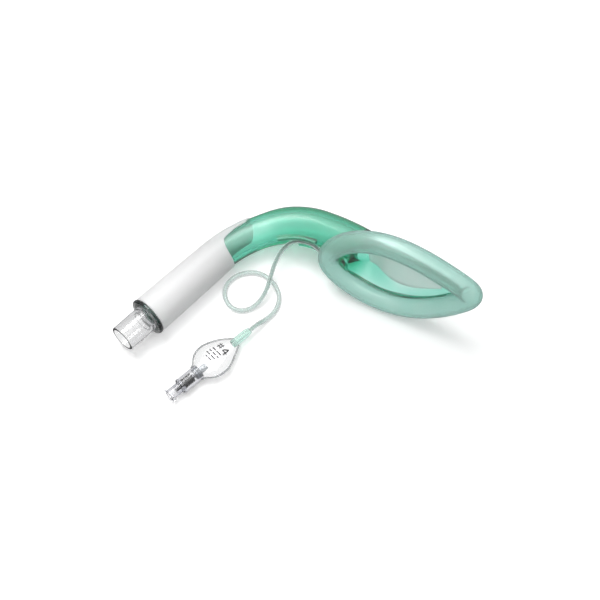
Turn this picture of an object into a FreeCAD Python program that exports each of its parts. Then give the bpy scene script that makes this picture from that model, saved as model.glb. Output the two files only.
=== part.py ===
import FreeCAD, Part
import math
import os
import re

import Sketcher
from FreeCAD import Placement, Rotation, Vector

# A laryngeal mask airway, size 4 adult, lying on its side on three points.
# All sizes are millimetres and degrees.
# The device is built in its own frame: X runs from the circuit connector into the tube,
# Y points to the back of the curve (the palate side) and Z across the device.
# One placement then lays it on the table. The inflation valve has a frame of its own,
# with X along its axis from the luer mouth towards the balloon.

SIZES = [
    # connector: a 15 mm male cone that runs out into a plain land, a stop flange and a stem
    ("cone_tip_radius", 7.54),
    ("cone_half_taper", 0.0125),
    ("cone_length", 18.2),
    ("cone_land", 6.2),
    ("cone_bore_radius", 6.3),
    ("step_depth", 3.2),
    ("flange_radius", 11.5),
    ("flange_thick", 2.6),
    ("flange_round", 1.1),
    ("stem_length", 15.0),
    ("stem_wall", 1.1),
    # airway tube: a straight run and three tangent bends
    ("tube_straight", 51.1),
    ("bend_one_radius", 64.0),
    ("bend_one_angle", 34.4),
    ("bend_two_radius", 38.8),
    ("bend_two_angle", 42.5),
    ("bend_three_radius", 138.0),
    ("bend_three_angle", 11.6),
    ("tube_neck_radius", 9.6),
    ("tube_depth_radius", 10.5),
    ("tube_width_radius", 10.9),
    ("lumen_radius", 6.8),
    ("lumen_runout", 9.0),
    ("swell_start", 79.0),
    ("swell_length", 23.0),
    # grip sleeve
    ("sleeve_gap", 0.08),
    ("sleeve_mouth_radius", 11.3),
    ("sleeve_end_radius", 10.35),
    ("sleeve_taper_length", 72.0),
    ("sleeve_spare", 5.5),
    ("tongue_reach", 86.5),
    ("tongue_height", 8.0),
    ("notch_reach", 59.6),
    ("notch_drop", 1.6),
    ("knee_step", 16.3),
    ("knee_drop", 2.2),
    ("heel_step", 3.8),
    ("heel_drop", 10.2),
    # line channel along the inside of the bend: the lower rail starts later, where the line
    # has come in from the side
    ("rail_start", 90.5),
    ("low_rail_start", 107.2),
    ("rail_end", 122.5),
    ("rail_height", 2.1),
    ("rail_thick", 1.8),
    ("rail_sink", 1.5),
    ("line_radius", 1.3),
    ("line_gap", 0.2),
    # mask ring, laid out in the plane of the cuff
    ("mask_turn", 20.0),
    ("mask_back", 14.2),
    ("mask_drop", 13.6),
    ("ring_length", 84.2),
    ("ring_half_width", 20.6),
    ("ring_egg", 0.268),
    ("ring_square", 0.184),
    ("ring_tip_drop", 3.56),
    ("ring_sag", 8.36),
    ("cuff_heel_radius", 5.85),
    ("cuff_side_radius", 6.35),
    ("cuff_tip_radius", 6.25),
    ("cuff_wall", 0.9),
    ("port_radius", 2.0),
    ("port_bore", 0.8),
    ("port_length", 2.3),
    ("port_angle", 34.0),
    ("port_run", 6.4),
    # bowl of the mask
    ("bowl_seat_gap", 0.08),
    ("bowl_open", 4.0),
    ("bowl_slope", 0.4),
    # inflation valve and pilot balloon, in the valve's own frame
    ("luer_length", 9.4),
    ("luer_radius", 3.0),
    ("luer_mouth_bore", 2.14),
    ("luer_end_bore", 2.05),
    ("luer_depth", 4.6),
    ("luer_land", 1.6),
    ("stem_bore", 1.5),
    ("lug_reach", 3.9),
    ("lug_width", 2.4),
    ("lug_thick", 1.1),
    ("lug_sink", 0.3),
    ("fit_gap", 0.04),
    ("housing_front", 8.0),
    ("housing_radius", 4.2),
    ("housing_bore", 3.3),
    ("housing_length", 13.4),
    ("shoulder_radius", 4.4),
    ("shoulder_thick", 1.3),
    ("plunger_tip", 4.7),
    ("plunger_stem_radius", 1.05),
    ("plunger_head_radius", 2.8),
    ("plunger_head_thick", 1.0),
    ("plunger_rib_pitch", 1.25),
    ("plunger_rib_thick", 0.5),
    ("plunger_core_radius", 1.9),
    ("plunger_pin_radius", 0.75),
    ("plunger_pin_length", 3.4),
    ("seal_thick", 0.7),
    ("seal_radius", 2.7),
    ("running_gap", 0.05),
    ("spring_radius", 1.4),
    ("spring_wire", 0.18),
    ("spring_turns", 3.5),
    ("spring_room", 2.2),
    ("nipple_radius", 1.9),
    ("nipple_bore", 1.1),
    ("nipple_length", 5.0),
    ("collar_length", 1.8),
    ("collar_wall", 0.35),
    ("collar_sink", 1.0),
    ("balloon_length", 28.6),
    ("balloon_half_width", 10.0),
    ("balloon_half_thick", 4.0),
    ("balloon_wall", 0.45),
    ("seam_width", 0.9),
    ("seam_thick", 0.7),
    ("neck_radius", 2.3),
    ("neck_length", 12.6),
    ("neck_insert", 2.2),
    ("neck_taper", 2.5),
    ("neck_step", 0.5),
    ("neck_run", 6.0),
    # where the valve lies on the table, and how high its axis is
    ("valve_x", 12.49),
    ("valve_y", -45.87),
    ("valve_lift", 0.05),
    ("valve_yaw", 43.15),
    # how the device lies on the table
    ("rest_yaw", 46.85),
    ("rest_slope_x", 0.172),
    ("rest_slope_y", -0.1849),
    ("rest_height", 11.478),
    ("origin_x", 80.54),
    ("origin_y", 23.76),
]

doc = FreeCAD.newDocument("laryngeal_mask_airway")
sheet = doc.addObject("Spreadsheet::Sheet", "sizes")
for row, (word, value) in enumerate(SIZES, start=1):
    sheet.set("A%d" % row, word)
    sheet.set("B%d" % row, str(value))
    sheet.setAlias("B%d" % row, word)
doc.recompute()


class Sizes:
    """Reads the sheet: size.word is the number in the cell with that alias."""

    def __getattr__(self, word):
        return float(sheet.get(word))


size = Sizes()
WORDS = set(word for word, value in SIZES)


def number(text):
    """The value of a sum of products of cell names and numbers, such as 'a + 2 * b - c'."""
    total = 0.0
    for sign, term in re.findall(r"([+-]?)\s*([^+-]+)", text):
        product = 1.0
        for factor in term.split("*"):
            factor = factor.strip()
            product *= float(sheet.get(factor)) if factor in WORDS else float(factor)
        total += -product if sign == "-" else product
    return total


def bound(text):
    """The same sum as an expression on the sheet."""
    return re.sub(r"[a-z][a-z_]+", lambda found: "sizes." + found.group(0), text)


def body(label):
    made = doc.addObject("PartDesign::Body", label)
    made.Label = label
    return made


def origin_plane(owner, role):
    return [f for f in owner.Origin.OriginFeatures if f.Role == role][0]


def sketch(owner, name, role, offset=None):
    made = owner.newObject("Sketcher::SketchObject", name)
    made.AttachmentSupport = [(origin_plane(owner, role), "")]
    made.MapMode = "FlatFace"
    if offset is not None:
        made.AttachmentOffset = offset
    return made


def outline(made, corners):
    """A closed outline whose corners are bound to the sheet, one pair of sums for each."""
    places = [Vector(number(x), number(y), 0) for x, y in corners]
    count = len(places)
    for i in range(count):
        made.addGeometry(Part.LineSegment(places[i], places[(i + 1) % count]), False)
    for i in range(count):
        made.addConstraint(Sketcher.Constraint("Coincident", i, 2, (i + 1) % count, 1))
    for i, (x, y) in enumerate(corners):
        for kind, text, value in (("DistanceX", x, places[i].x), ("DistanceY", y, places[i].y)):
            if text == "0":
                axis = -2 if kind == "DistanceX" else -1
                made.addConstraint(Sketcher.Constraint("PointOnObject", i, 1, axis))
                continue
            index = made.addConstraint(Sketcher.Constraint(kind, -1, 1, i, 1, value))
            made.setExpression("Constraints[%d]" % index, bound(text))


def revolve(owner, name, corners):
    """A solid of revolution about the X axis."""
    made = sketch(owner, name + "_profile", "XY_Plane")
    outline(made, corners)
    turned = owner.newObject("PartDesign::Revolution", name)
    turned.Profile = made
    turned.ReferenceAxis = (made, ["H_Axis"])
    turned.Angle = 360.0
    doc.recompute()
    return turned


def groove(owner, name, corners):
    made = sketch(owner, name + "_profile", "XY_Plane")
    outline(made, corners)
    cut = owner.newObject("PartDesign::Groove", name)
    cut.Profile = made
    cut.ReferenceAxis = (made, ["H_Axis"])
    cut.Angle = 360.0
    doc.recompute()
    return cut


def rim_edges(shape, station, radius):
    """Names of the full circles about the X axis at this station and radius."""
    found = []
    for index, edge in enumerate(shape.Edges, start=1):
        if not isinstance(edge.Curve, Part.Circle):
            continue
        middle = edge.Curve.Center
        near = abs(middle.x - station) < 1e-4 and abs(edge.Curve.Radius - radius) < 1e-4
        if near and abs(middle.y) < 1e-4 and abs(middle.z) < 1e-4:
            found.append("Edge%d" % index)
    return found


def fillet(owner, name, places, text):
    """Rounds the rims given as (station, radius) by a size of the sheet."""
    base = owner.Tip
    names = []
    for station, radius in places:
        names += rim_edges(base.Shape, number(station), number(radius))
    rounded = owner.newObject("PartDesign::Fillet", name)
    rounded.Base = (base, names)
    rounded.Radius = number(text)
    rounded.setExpression("Radius", bound(text))
    doc.recompute()
    return rounded


# Placements of the two frames.
up = Vector(0, 0, 1)
lean = Vector(-size.rest_slope_x, -size.rest_slope_y, 1)
rest_turn = Rotation(up, lean).multiply(Rotation(up, size.rest_yaw))
shift = Vector(-size.origin_x, -size.origin_y, 0)
device_place = Placement(shift + Vector(0, 0, size.rest_height), rest_turn)
valve_height = size.housing_radius + size.fit_gap + size.collar_wall + size.valve_lift
valve_place = Placement(
    shift + Vector(size.valve_x, size.valve_y, valve_height), Rotation(up, size.valve_yaw)
)

# The tube's centreline: lengths along it, points and headings in the device frame.
BENDS = [
    (size.bend_one_radius, math.radians(size.bend_one_angle)),
    (size.bend_two_radius, math.radians(size.bend_two_angle)),
    (size.bend_three_radius, math.radians(size.bend_three_angle)),
]
marks = [0.0, size.tube_straight]
for radius, turn in BENDS:
    marks.append(marks[-1] + radius * turn)
spine_length = marks[-1]


def station(along):
    """Point and heading of the centreline at a length from the flange."""
    if along <= size.tube_straight:
        return Vector(along, 0, 0), 0.0
    point = Vector(size.tube_straight, 0, 0)
    heading = 0.0
    left = along - size.tube_straight
    for radius, turn in BENDS:
        step = min(left, radius * turn)
        centre = point + Vector(math.sin(heading), -math.cos(heading), 0) * radius
        heading -= step / radius
        point = centre + Vector(-math.sin(heading), math.cos(heading), 0) * radius
        left -= step
        if left <= 1e-9:
            return point, heading
    return point + Vector(math.cos(heading), math.sin(heading), 0) * left, heading


def spine(start, end):
    """A wire along the centreline between two lengths."""
    stops = [start] + [m for m in marks if start + 1e-6 < m < end - 1e-6] + [end]
    edges = []
    for first, last in zip(stops[:-1], stops[1:]):
        a, b = station(first), station(last)
        if abs(a[1] - b[1]) < 1e-9:
            edges.append(Part.LineSegment(a[0], b[0]).toShape())
        else:
            middle = station((first + last) / 2)
            edges.append(Part.Arc(a[0], middle[0], b[0]).toShape())
    return Part.Wire(edges)


def across(along):
    """Placement of the section plane at a length: X to the back, Y across, Z along."""
    point, heading = station(along)
    back = Vector(-math.sin(heading), math.cos(heading), 0)
    ahead = Vector(math.cos(heading), math.sin(heading), 0)
    return Placement(point, Rotation(back, up, ahead, "ZXY"))


def oval(half_x, half_y, place):
    """A closed oval wire made from one stretched circle."""
    curve = Part.Circle().toBSpline()
    for i in range(1, curve.NbPoles + 1):
        pole = curve.getPole(i)
        curve.setPole(i, Vector(pole.x * half_x, pole.y * half_y, 0))
    wire = Part.Wire([curve.toShape()])
    wire.Placement = place
    return wire


# Points round each smooth section: enough for a circle that is true to a micron or two.
AROUND = [math.radians(45 * i) for i in range(8)]


def smooth_ring(points):
    """A closed smooth wire through the points."""
    curve = Part.BSplineCurve()
    curve.interpolate(Points=points, PeriodicFlag=True)
    return Part.Wire([curve.toShape()])


def ring_wire(radius, place):
    """A true circle, so that a sweep of it gives cylinders and tori."""
    wire = Part.Wire([Part.Circle(Vector(0, 0, 0), up, radius).toShape()])
    wire.Placement = place
    return wire


def swept(path, sections):
    pipe = Part.BRepOffsetAPI.MakePipeShell(path)
    pipe.setBiNormalMode(up)
    for wire in sections:
        pipe.add(wire, False, False)
    pipe.build()
    pipe.makeSolid()
    return pipe.shape()


def feature(label, shape, place=None):
    made = doc.addObject("Part::Feature", label)
    made.Label = label
    made.Shape = shape
    if place is not None:
        made.Placement = place
    return made


# The mask's own axes, hung from the end of the tube.
tube_end, end_heading = station(spine_length)
mask_heading = end_heading + math.radians(size.mask_turn)
to_tip = Vector(math.cos(mask_heading), math.sin(mask_heading), 0)
to_back = Vector(-math.sin(mask_heading), math.cos(mask_heading), 0)
mask_heel = tube_end - to_tip * size.mask_back - to_back * size.mask_drop


def ring_lift(along):
    """How far the ring's middle leaves its flat plane: the tip bends to the front."""
    q = along / size.ring_length
    return -size.ring_tip_drop * q * q + size.ring_sag * q * q * (q - 1)


def ring_half(angle):
    """Half width of the egg-shaped ring at an angle from its heel."""
    shape = 1 + size.ring_egg * math.cos(angle) - size.ring_square * math.cos(2 * angle)
    return size.ring_half_width * math.sin(angle) * shape


def ring_point(angle):
    along = size.ring_length / 2 * (1 - math.cos(angle))
    return mask_heel + to_tip * along + up * ring_half(angle) + to_back * ring_lift(along)


def ring_half_at(along):
    q = max(-1.0, min(1.0, 1 - 2 * along / size.ring_length))
    return ring_half(math.acos(q))


def cuff_radius(along):
    """Radius of the cuff's tube, through its heel, side and tip values."""
    q = along / size.ring_length
    heel = size.cuff_heel_radius * (1 - q) * (1 - 2 * q)
    tip = size.cuff_tip_radius * q * (2 * q - 1)
    return heel + 4 * size.cuff_side_radius * q * (1 - q) + tip


RING_STOPS = [0, 2.5, 14, 36, 62, 90, 118, 144, 166, 177.5, 180]


def ring_circle(degrees, offset):
    """The cuff's section at an angle round the ring, its radius changed by an offset."""
    angle = math.radians(degrees)
    ahead = ring_point(angle + 1e-3) - ring_point(angle - 1e-3)
    ahead.normalize()
    outward = to_back.cross(ahead)
    outward.normalize()
    rise = ahead.cross(outward)
    radius = cuff_radius(size.ring_length / 2 * (1 - math.cos(angle))) + offset
    rim = []
    for turn in AROUND:
        point = outward * math.cos(turn) + rise * math.sin(turn)
        rim.append(ring_point(angle) + point * radius)
    return smooth_ring(rim)


def ring_lofts(offset, solid):
    """The two halves of the cuff's tube, which meet at the heel and at the tip."""
    left = [ring_circle(stop, offset) for stop in RING_STOPS]
    right = [ring_circle(360 - stop, offset) for stop in reversed(RING_STOPS)]
    return [Part.makeLoft(wires, solid, False, False) for wires in (left, right)]


def ring_shell(offset):
    """The closed skin of the cuff's tube, its two halves sewn together."""
    left, right = ring_lofts(offset, False)
    joined = Part.Compound(left.Faces + right.Faces)
    joined.sewShape()
    skin = joined.Shells[0]
    if Part.Solid(skin).Volume < 0:
        skin.reverse()
    return skin


# Connector: cone, flange and stem turned as one moulding.
connector = body("connector")
cone_base = "cone_tip_radius + cone_length * cone_half_taper - cone_land * cone_half_taper"
revolve(connector, "connector_blank", [
    ("0", "cone_bore_radius"),
    ("0", "cone_tip_radius"),
    ("cone_length - cone_land", cone_base),
    ("cone_length", cone_base),
    ("cone_length", "flange_radius"),
    ("cone_length + flange_thick", "flange_radius"),
    ("cone_length + flange_thick", "lumen_radius - sleeve_gap"),
    ("cone_length + flange_thick + stem_length", "lumen_radius - sleeve_gap"),
    ("cone_length + flange_thick + stem_length", "lumen_radius - sleeve_gap - stem_wall"),
    ("cone_length - step_depth", "lumen_radius - sleeve_gap - stem_wall"),
    ("cone_length - step_depth", "cone_bore_radius"),
])
fillet(connector, "flange_rounding", [
    ("cone_length", "flange_radius"),
    ("cone_length + flange_thick", "flange_radius"),
], "flange_round")
fillet(connector, "mouth_rounding", [("0", "cone_tip_radius")], "0.35 * stem_wall")
connector.Placement = device_place.multiply(
    Placement(Vector(-size.cone_length - size.flange_thick, 0, 0), Rotation())
)


# Grip sleeve: a tapering tube over the neck of the airway tube, with a curved end.
# Its end is three arcs, and each stands off its chord by a share of the chord's length.
SLEEVE_BOWS = [-0.07, 0.065, 0.1]


def taper(along, start, end, first, last):
    share = max(0.0, min(1.0, (along - first) / (last - first)))
    return start + (end - start) * share


def sleeve_radius(along):
    return taper(along, size.sleeve_mouth_radius, size.sleeve_end_radius, 0,
                 size.sleeve_taper_length)


sleeve_reach = size.tongue_reach + size.sleeve_spare
stops = [0.0, size.tube_straight, size.sleeve_taper_length, sleeve_reach]
sleeve_path = spine(0, sleeve_reach)
sleeve_outer = swept(
    sleeve_path, [oval(sleeve_radius(t), sleeve_radius(t), across(t)) for t in stops]
)
neck_bore = size.tube_neck_radius + size.sleeve_gap
sleeve_inner = swept(sleeve_path, [ring_wire(neck_bore, across(0))])
sleeve_tube = feature("sleeve_tube", sleeve_outer.cut(sleeve_inner))

# The blade that shapes the sleeve's end: seen from the side, a tongue reaches along the
# back of the tube and the edge sweeps down to a notch and a short heel.
blade = body("sleeve_blade")
edge = sketch(blade, "sleeve_end_curve", "XY_Plane")
heel_reach = size.notch_reach - size.heel_step
tongue_point = Vector(size.tongue_reach, size.tongue_height, 0)
knee_point = Vector(size.notch_reach + size.knee_step, -size.knee_drop, 0)
notch_point = Vector(size.notch_reach, -size.notch_drop, 0)
heel_point = Vector(heel_reach, -size.heel_drop, 0)
corners = [tongue_point, knee_point, notch_point, heel_point]
for first, last, bow in zip(corners[:-1], corners[1:], SLEEVE_BOWS):
    chord = last - first
    side = Vector(chord.y, -chord.x, 0)
    edge.addGeometry(Part.Arc(first, (first + last) / 2 + side * bow, last), False)
reach = 2 * size.sleeve_mouth_radius
far = sleeve_reach + reach
outer = [heel_point, Vector(heel_reach, -sleeve_reach, 0), Vector(far, -sleeve_reach, 0),
         Vector(far, reach, 0), Vector(size.tongue_reach, reach, 0), tongue_point]
for i in range(5):
    edge.addGeometry(Part.LineSegment(outer[i], outer[i + 1]), False)
blade_pad = blade.newObject("PartDesign::Pad", "sleeve_blade_pad")
blade_pad.Profile = edge
blade_pad.Length = 3 * size.sleeve_mouth_radius
blade_pad.setExpression("Length", "3 * sizes.sleeve_mouth_radius")
blade_pad.Midplane = True
doc.recompute()
grip_sleeve = doc.addObject("Part::Cut", "grip_sleeve")
grip_sleeve.Label = "grip_sleeve"
grip_sleeve.Base = sleeve_tube
grip_sleeve.Tool = blade
grip_sleeve.Placement = device_place

# Airway tube: a round neck inside the sleeve that swells to an oval beyond it.
swell_end = size.swell_start + size.swell_length


def tube_section(along):
    rise = taper(along, 0, math.pi, size.swell_start, swell_end)
    share = 0.5 - 0.5 * math.cos(rise)
    depth = size.tube_neck_radius + (size.tube_depth_radius - size.tube_neck_radius) * share
    width = size.tube_neck_radius + (size.tube_width_radius - size.tube_neck_radius) * share
    return oval(depth, width, across(along))


neck_skin = swept(spine(0, size.swell_start), [ring_wire(size.tube_neck_radius, across(0))])
swell_stops = [size.swell_start + size.swell_length * n / 4 for n in range(5)]
swell_skin = swept(spine(size.swell_start, swell_end), [tube_section(t) for t in swell_stops])
bend_skin = swept(spine(swell_end, spine_length), [tube_section(swell_end)])
lumen_path = spine(0, spine_length + size.lumen_runout)
lumen = swept(lumen_path, [ring_wire(size.lumen_radius, across(0))])


# The bowl: sections across the mask, each a half oval on the plane of the ring.
def mask_place(along, lift=0.0):
    point = mask_heel + to_tip * along + to_back * lift
    return Placement(point, Rotation(up, to_back, to_tip * -1, "ZXY"))


def dome(share, wide_share, top):
    along = share * size.ring_length
    half_width = wide_share * size.ring_half_width
    base = ring_lift(along)
    curve = Part.ArcOfCircle(Part.Circle(), 0, math.pi).toBSpline()
    for i in range(1, curve.NbPoles + 1):
        pole = curve.getPole(i)
        curve.setPole(i, Vector(pole.x * half_width, pole.y * (top - base), 0))
    arch = curve.toShape()
    closing = Part.LineSegment(Vector(-half_width, 0, 0), Vector(half_width, 0, 0)).toShape()
    wire = Part.Wire([arch, closing])
    wire.Placement = mask_place(along, base)
    return wire


# The hollow along the mask: place as a share of the ring's length, depth of the floor
# behind the ring, and half width of the floor as a share of the ring's half width.
FLOOR = [
    (0.119, 2.6, 0.146),
    (0.183, 6.6, 0.272),
    (0.238, 10.5, 0.340),
    (0.297, 9.4, 0.408),
    (0.356, 6.6, 0.495),
    (0.428, 4.6, 0.612),
    (0.523, 2.8, 0.602),
    (0.618, 1.2, 0.476),
    (0.713, -0.4, 0.282),
    (0.796, -1.7, 0.117),
    (0.885, -2.6, 0.039),
]


def trough(share, depth, floor_share):
    """A section of the hollow: open to the front, sloping walls and a flat floor."""
    along = share * size.ring_length
    half_floor = floor_share * size.ring_half_width
    base = ring_lift(along)
    wide = ring_half_at(along) - cuff_radius(along)
    wide = max(wide, half_floor + size.bowl_slope)
    front = base - size.bowl_open
    points = [Vector(-wide, front, 0), Vector(-wide, base, 0), Vector(-half_floor, depth, 0),
              Vector(half_floor, depth, 0), Vector(wide, base, 0), Vector(wide, front, 0)]
    wire = Part.makePolygon(points + [points[0]])
    wire.Placement = mask_place(along)
    return wire


hollow = Part.makeLoft([trough(*entry) for entry in FLOOR], True, False, False, 3)

# The bowl's back: place and half width as shares like the floor's, and height of the dome.
BACK = [
    (0.0713, 0.563, 26.0),
    (0.1306, 0.655, 25.0),
    (0.2019, 0.752, 22.2),
    (0.2850, 0.874, 17.0),
    (0.3682, 0.947, 11.6),
    (0.4513, 0.995, 8.0),
    (0.5463, 0.985, 5.6),
    (0.6532, 0.864, 3.6),
    (0.7601, 0.660, 1.9),
    (0.8551, 0.432, 0.7),
    (0.9145, 0.252, -0.2),
]
back_skin = Part.makeLoft([dome(t, w, h) for t, w, h in BACK], True, False, False, 3)
rooms = ring_lofts(size.bowl_seat_gap, True)

# Two rails along the inside of the bend hold the inflation line.
inner = size.tube_depth_radius
rail_root = inner - size.rail_sink
rail_crest = inner + size.rail_height
slot_half = size.line_radius + size.line_gap
line_offset = inner + size.line_radius + size.line_gap


def rail(start, side):
    """A rail on one side of the line, from a length along the tube to the rails' end."""
    near = side * slot_half
    away = side * (slot_half + size.rail_thick)
    points = [Vector(-rail_root, near, 0), Vector(-rail_crest, near, 0),
              Vector(-rail_crest, away, 0), Vector(-rail_root, away, 0)]
    wire = Part.makePolygon(points + [points[0]])
    wire.Placement = across(start)
    return swept(spine(start, size.rail_end), [wire])


neck = feature("tube_neck", neck_skin)
swell = feature("tube_swell", swell_skin)
bend = feature("tube_bend", bend_skin)
back = feature("bowl_back", back_skin)
upper_rail = feature("upper_rail", rail(size.rail_start, 1))
lower_rail = feature("lower_rail", rail(size.low_rail_start, -1))
lumen_tool = feature("lumen_tool", lumen)
hollow_tool = feature("bowl_hollow", hollow)
room_one = feature("cuff_room_one", rooms[0])
room_two = feature("cuff_room_two", rooms[1])
blank = doc.addObject("Part::MultiFuse", "tube_blank")
blank.Shapes = [neck, swell, bend, back, upper_rail, lower_rail]
previous = blank
for label, tool in (("tube_bored", lumen_tool), ("tube_hollowed", hollow_tool),
                    ("tube_seated", room_one)):
    step = doc.addObject("Part::Cut", label)
    step.Base = previous
    step.Tool = tool
    previous = step
airway_tube = doc.addObject("Part::Cut", "airway_tube")
airway_tube.Label = "airway_tube"
airway_tube.Base = previous
airway_tube.Tool = room_two
airway_tube.Placement = device_place
doc.recompute()

# Cuff: an inflated ring with a thin wall and a port at its heel for the line.
outside = ring_shell(0)
inside = ring_shell(-size.cuff_wall)
inside.reverse()
port_turn = math.radians(size.port_angle)
port_way = to_tip * -math.cos(port_turn) + to_back * math.sin(port_turn)
port_root = mask_heel + port_way * (size.cuff_heel_radius - size.cuff_wall / 2)
port_face = mask_heel + port_way * (size.cuff_heel_radius + size.port_length)
port_reach = size.port_length + size.cuff_wall / 2
port = Part.makeCylinder(size.port_radius, port_reach, port_root, port_way)
bore_root = port_root - port_way * 2 * size.cuff_wall
bore = Part.makeCylinder(size.port_bore, port_reach + 4 * size.cuff_wall, bore_root, port_way)
ported = doc.addObject("Part::MultiFuse", "cuff_with_port")
ported.Shapes = [feature("cuff_ring", Part.makeSolid(Part.Compound([outside, inside]))),
                 feature("cuff_port", port)]
cuff = doc.addObject("Part::Cut", "cuff")
cuff.Label = "cuff"
cuff.Base = ported
cuff.Tool = feature("cuff_port_bore", bore)
cuff.Placement = device_place
doc.recompute()

# Luer port: a female taper with a plain land at its end and two lugs, and a bore for the
# plunger's stem.
luer_port = body("luer_port")
revolve(luer_port, "luer_blank", [
    ("0", "luer_mouth_bore"),
    ("0", "luer_radius"),
    ("luer_length", "luer_radius"),
    ("luer_length", "stem_bore"),
    ("luer_depth", "stem_bore"),
    ("luer_depth", "luer_end_bore"),
    ("luer_depth - luer_land", "luer_end_bore"),
])
lug_sketch = sketch(luer_port, "lug_profile", "YZ_Plane")
for side in (-1, 1):
    first = lug_sketch.GeometryCount
    root = side * (size.luer_radius - size.lug_sink)
    crest = side * size.lug_reach
    half = size.lug_width / 2
    corners = [(root, -half), (crest, -half), (crest, half), (root, half)]
    for i in range(4):
        a, b = corners[i], corners[(i + 1) % 4]
        line = Part.LineSegment(Vector(a[0], a[1], 0), Vector(b[0], b[1], 0))
        lug_sketch.addGeometry(line, False)
    for i in range(4):
        last = first + (i + 1) % 4
        lug_sketch.addConstraint(Sketcher.Constraint("Coincident", first + i, 2, last, 1))
lugs = luer_port.newObject("PartDesign::Pad", "luer_lugs")
lugs.Profile = lug_sketch
lugs.Length = size.lug_thick
lugs.setExpression("Length", "sizes.lug_thick")
doc.recompute()
luer_port.Placement = valve_place

# Valve housing: a shoulder, a socket for the luer port and a barrel.
housing = body("valve_housing")
revolve(housing, "housing_blank", [
    ("housing_front", "luer_radius + fit_gap"),
    ("housing_front", "shoulder_radius"),
    ("housing_front + shoulder_thick", "shoulder_radius"),
    ("housing_front + shoulder_thick", "housing_radius"),
    ("housing_front + housing_length", "housing_radius"),
    ("housing_front + housing_length", "housing_bore"),
    ("luer_length", "housing_bore"),
    ("luer_length", "luer_radius + fit_gap"),
])
housing.Placement = valve_place

# Plunger: stem, head, ribbed core and guide pin.
plunger = body("valve_plunger")
head = "luer_length + 2 * running_gap + seal_thick"
ribs_from = head + " + plunger_head_thick"
profile = [
    ("plunger_tip", "0"),
    ("plunger_tip", "plunger_stem_radius"),
    (head, "plunger_stem_radius"),
    (head, "plunger_head_radius"),
    (ribs_from, "plunger_head_radius"),
    (ribs_from, "plunger_core_radius"),
]
for i in (1, 2, 3, 4):
    rib = ribs_from + " + %d * plunger_rib_pitch" % i
    profile += [
        (rib + " - plunger_rib_thick", "plunger_core_radius"),
        (rib + " - plunger_rib_thick", "plunger_head_radius"),
        (rib, "plunger_head_radius"),
        (rib, "plunger_core_radius" if i < 4 else "plunger_pin_radius"),
    ]
core_end = ribs_from + " + 4 * plunger_rib_pitch"
profile += [
    (core_end + " + plunger_pin_length", "plunger_pin_radius"),
    (core_end + " + plunger_pin_length", "0"),
]
revolve(plunger, "plunger_blank", profile)
plunger.Placement = valve_place

# Seal: a soft washer on the plunger's stem, against the end of the luer port.
seal = body("valve_seal")
revolve(seal, "seal_blank", [
    ("luer_length + running_gap", "plunger_stem_radius + 0.5 * running_gap"),
    ("luer_length + running_gap", "seal_radius"),
    ("luer_length + running_gap + seal_thick", "seal_radius"),
    ("luer_length + running_gap + seal_thick", "plunger_stem_radius + 0.5 * running_gap"),
])
seal.Placement = valve_place

# Spring seat: closes the barrel behind the spring and reaches into the balloon.
seat = body("valve_spring_seat")
seat_front = core_end + " + spring_room"
barrel_end = "housing_front + housing_length"
revolve(seat, "seat_blank", [
    (seat_front, "nipple_bore"),
    (seat_front, "housing_bore - fit_gap"),
    (barrel_end, "housing_bore - fit_gap"),
    (barrel_end, "nipple_radius"),
    (barrel_end + " + nipple_length", "nipple_radius"),
    (barrel_end + " + nipple_length", "nipple_bore"),
])
seat.Placement = valve_place


def cord(points, radius, share=0.45):
    """A round cord along straight runs joined by tangent arcs, each arc starting at a share
    of the shorter run. Returns the solid, its length and the radii of its arcs."""
    heading = (points[1] - points[0]).normalize()
    ring = Part.Circle(points[0], heading, radius).toShape()
    faces = [Part.Face(Part.Wire([ring]))]
    here = points[0]
    length = 0.0
    radii = []
    for before, corner, after in zip(points[:-2], points[1:-1], points[2:]):
        run_in = corner - before
        run_out = after - corner
        turn = run_in.getAngle(run_out)
        reach = share * min(run_in.Length, run_out.Length)
        bend = reach / math.tan(turn / 2)
        axis = run_in.cross(run_out).normalize()
        first = corner - run_in.normalize() * reach
        centre = first + axis.cross(run_in) * bend
        faces.append(ring.extrude(first - here))
        ring = ring.translated(first - here)
        faces.append(ring.revolve(centre, axis, math.degrees(turn)))
        ring.rotate(centre, axis, math.degrees(turn))
        length += (first - here).Length + bend * turn
        here = corner + run_out.normalize() * reach
        radii.append(round(bend, 1))
    faces.append(ring.extrude(points[-1] - here))
    ring = ring.translated(points[-1] - here)
    faces.append(Part.Face(Part.Wire([ring])))
    length += (points[-1] - here).Length
    joined = Part.Compound(faces)
    joined.sewShape()
    solid = Part.Solid(joined.Shells[0])
    if solid.Volume < 0:
        solid.reverse()
    return solid, length, radii


# Spring: a round wire wound between the ribbed core and the seat, four arcs to a turn.
coil_from = number(core_end) + size.spring_wire + size.running_gap
coil_height = size.spring_room - 2 * (size.spring_wire + size.running_gap)
coil_points = []
for i in range(round(4 * size.spring_turns) + 1):
    turn = math.radians(90 * i)
    along = coil_from + coil_height * turn / math.radians(360 * size.spring_turns)
    reach = size.spring_radius / math.cos(math.radians(45))
    coil_points.append(Vector(along, reach * math.cos(turn), reach * math.sin(turn)))
coil, coil_length, coil_radii = cord(coil_points, size.spring_wire, 0.49)
spring = feature("valve_spring", coil, valve_place)

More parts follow.
